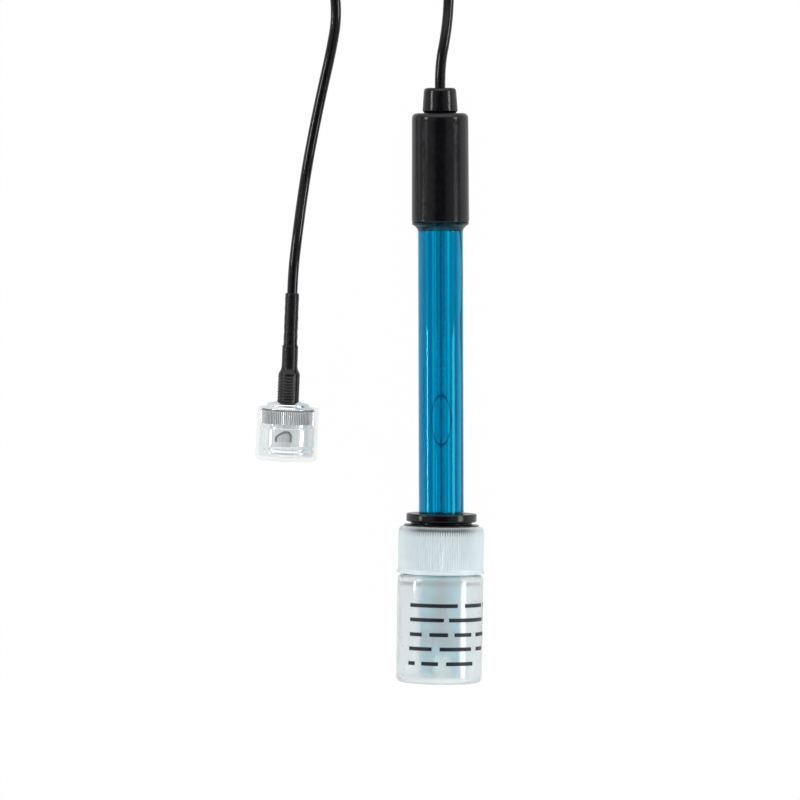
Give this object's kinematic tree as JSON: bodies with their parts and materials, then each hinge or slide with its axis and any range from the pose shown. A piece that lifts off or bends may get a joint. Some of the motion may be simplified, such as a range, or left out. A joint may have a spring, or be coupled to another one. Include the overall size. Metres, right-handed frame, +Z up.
{
  "type": "redox electrode",
  "caption": "Laboratory redox electrode with a clear blue barrel, storage bottle on its tip, coaxial signal cord and a bayonet plug under a clear cover.",
  "frame": {"origin": "on the table, under the middle of the electrode with its bottle", "axes": "+Z up from the table, +Y from the storage bottle towards the head and the cord, -X towards the plug"},
  "size_m": [0.0608, 0.2337, 0.0241],
  "materials": {
    "clear_blue": "clear tinted plastic, polished",
    "gloss_black": "moulded, high gloss",
    "black_rubber": "satin",
    "milky_plastic": "translucent, satin",
    "clear_plastic": "clear, soft",
    "solution": "clear liquid",
    "nickel": "plated, polished",
    "gold": "plated",
    "white_insulator": "smooth",
    "silicone": "satin",
    "stem_glass": "clear",
    "platinum": "bright wire",
    "silver": "dull wire",
    "gel": "clear gel",
    "ceramic": "porous",
    "resin": "cast",
    "copper": "bare wire",
    "cord_jacket": "satin jacket",
    "shrink_black": "shrunk sleeve, satin",
    "tie_black": "satin"
  },
  "bodies": {
    "electrode": {"body_tube": "clear_blue", "head_cap": "gloss_black", "cable_bush": "black_rubber", "reference_wire": "silver", "shield_tail": "copper", "reference_junction": "ceramic", "glass_stem": "stem_glass", "platinum_pin": "platinum", "platinum_lead": "platinum", "bottom_plug": "white_insulator", "upper_seal": "silicone", "potting": "resin", "signal_core": "copper", "cord_entry": "cord_jacket", "reference_gel": "gel", "plug_body": "nickel", "plug_insulator": "white_insulator", "plug_pin": "gold", "plug_gasket": "silicone", "plug_spring": "nickel", "plug_ferrule": "nickel", "shrink_sleeve": "shrink_black", "marker_sleeve": "shrink_black", "cord_end": "cord_jacket", "cord_coil": "cord_jacket", "coil_tie": "tie_black", "cord_lead": "cord_jacket", "cord_plug_run": "cord_jacket"},
    "cap": {"bottle_cap": "milky_plastic", "gland_ring": "black_rubber", "sealing_ring": "black_rubber"},
    "solution": {"storage_solution": "solution"},
    "bottle": {"storage_bottle": "milky_plastic"},
    "washer": {"plug_washer": "nickel"},
    "sleeve": {"plug_sleeve": "nickel"},
    "cover": {"plug_cover": "clear_plastic"}
  },
  "joints": [
    {"name": "cap_slide", "type": "slide", "parent": "electrode", "child": "cap", "axis": [0, -0.9994, 0.0355], "range_m": [0, 0.08]},
    {"name": "bottle_travel", "type": "slide", "parent": "cap", "child": "solution", "axis": [-0.0192, -0.9992, 0.0355], "range_m": [0, 0.00794]},
    {"name": "bottle_turn", "type": "hinge", "parent": "solution", "child": "bottle", "pos_m": [-0.00009, -0.04202, 0.0115], "axis": [-0.0192, -0.9992, 0.0355], "range_deg": [0, 900]},
    {"name": "sleeve_press", "type": "slide", "parent": "electrode", "child": "washer", "axis": [-0.0419, -0.9991, 0], "range_m": [0, 0.0006], "stiffness_N_per_m": 2000, "deforming": ["plug_spring"]},
    {"name": "sleeve_turn", "type": "hinge", "parent": "washer", "child": "sleeve", "pos_m": [-0.04082, -0.00841, 0.00817], "axis": [-0.0419, -0.9991, 0], "continuous": true},
    {"name": "cover_slide", "type": "slide", "parent": "sleeve", "child": "cover", "axis": [-0.0419, -0.9991, 0], "range_m": [0, 0.02]}
  ],
  "couplings": [
    {"joint": "bottle_travel", "follows": "bottle_turn", "m_per_rad": 0.00050532}
  ]
}
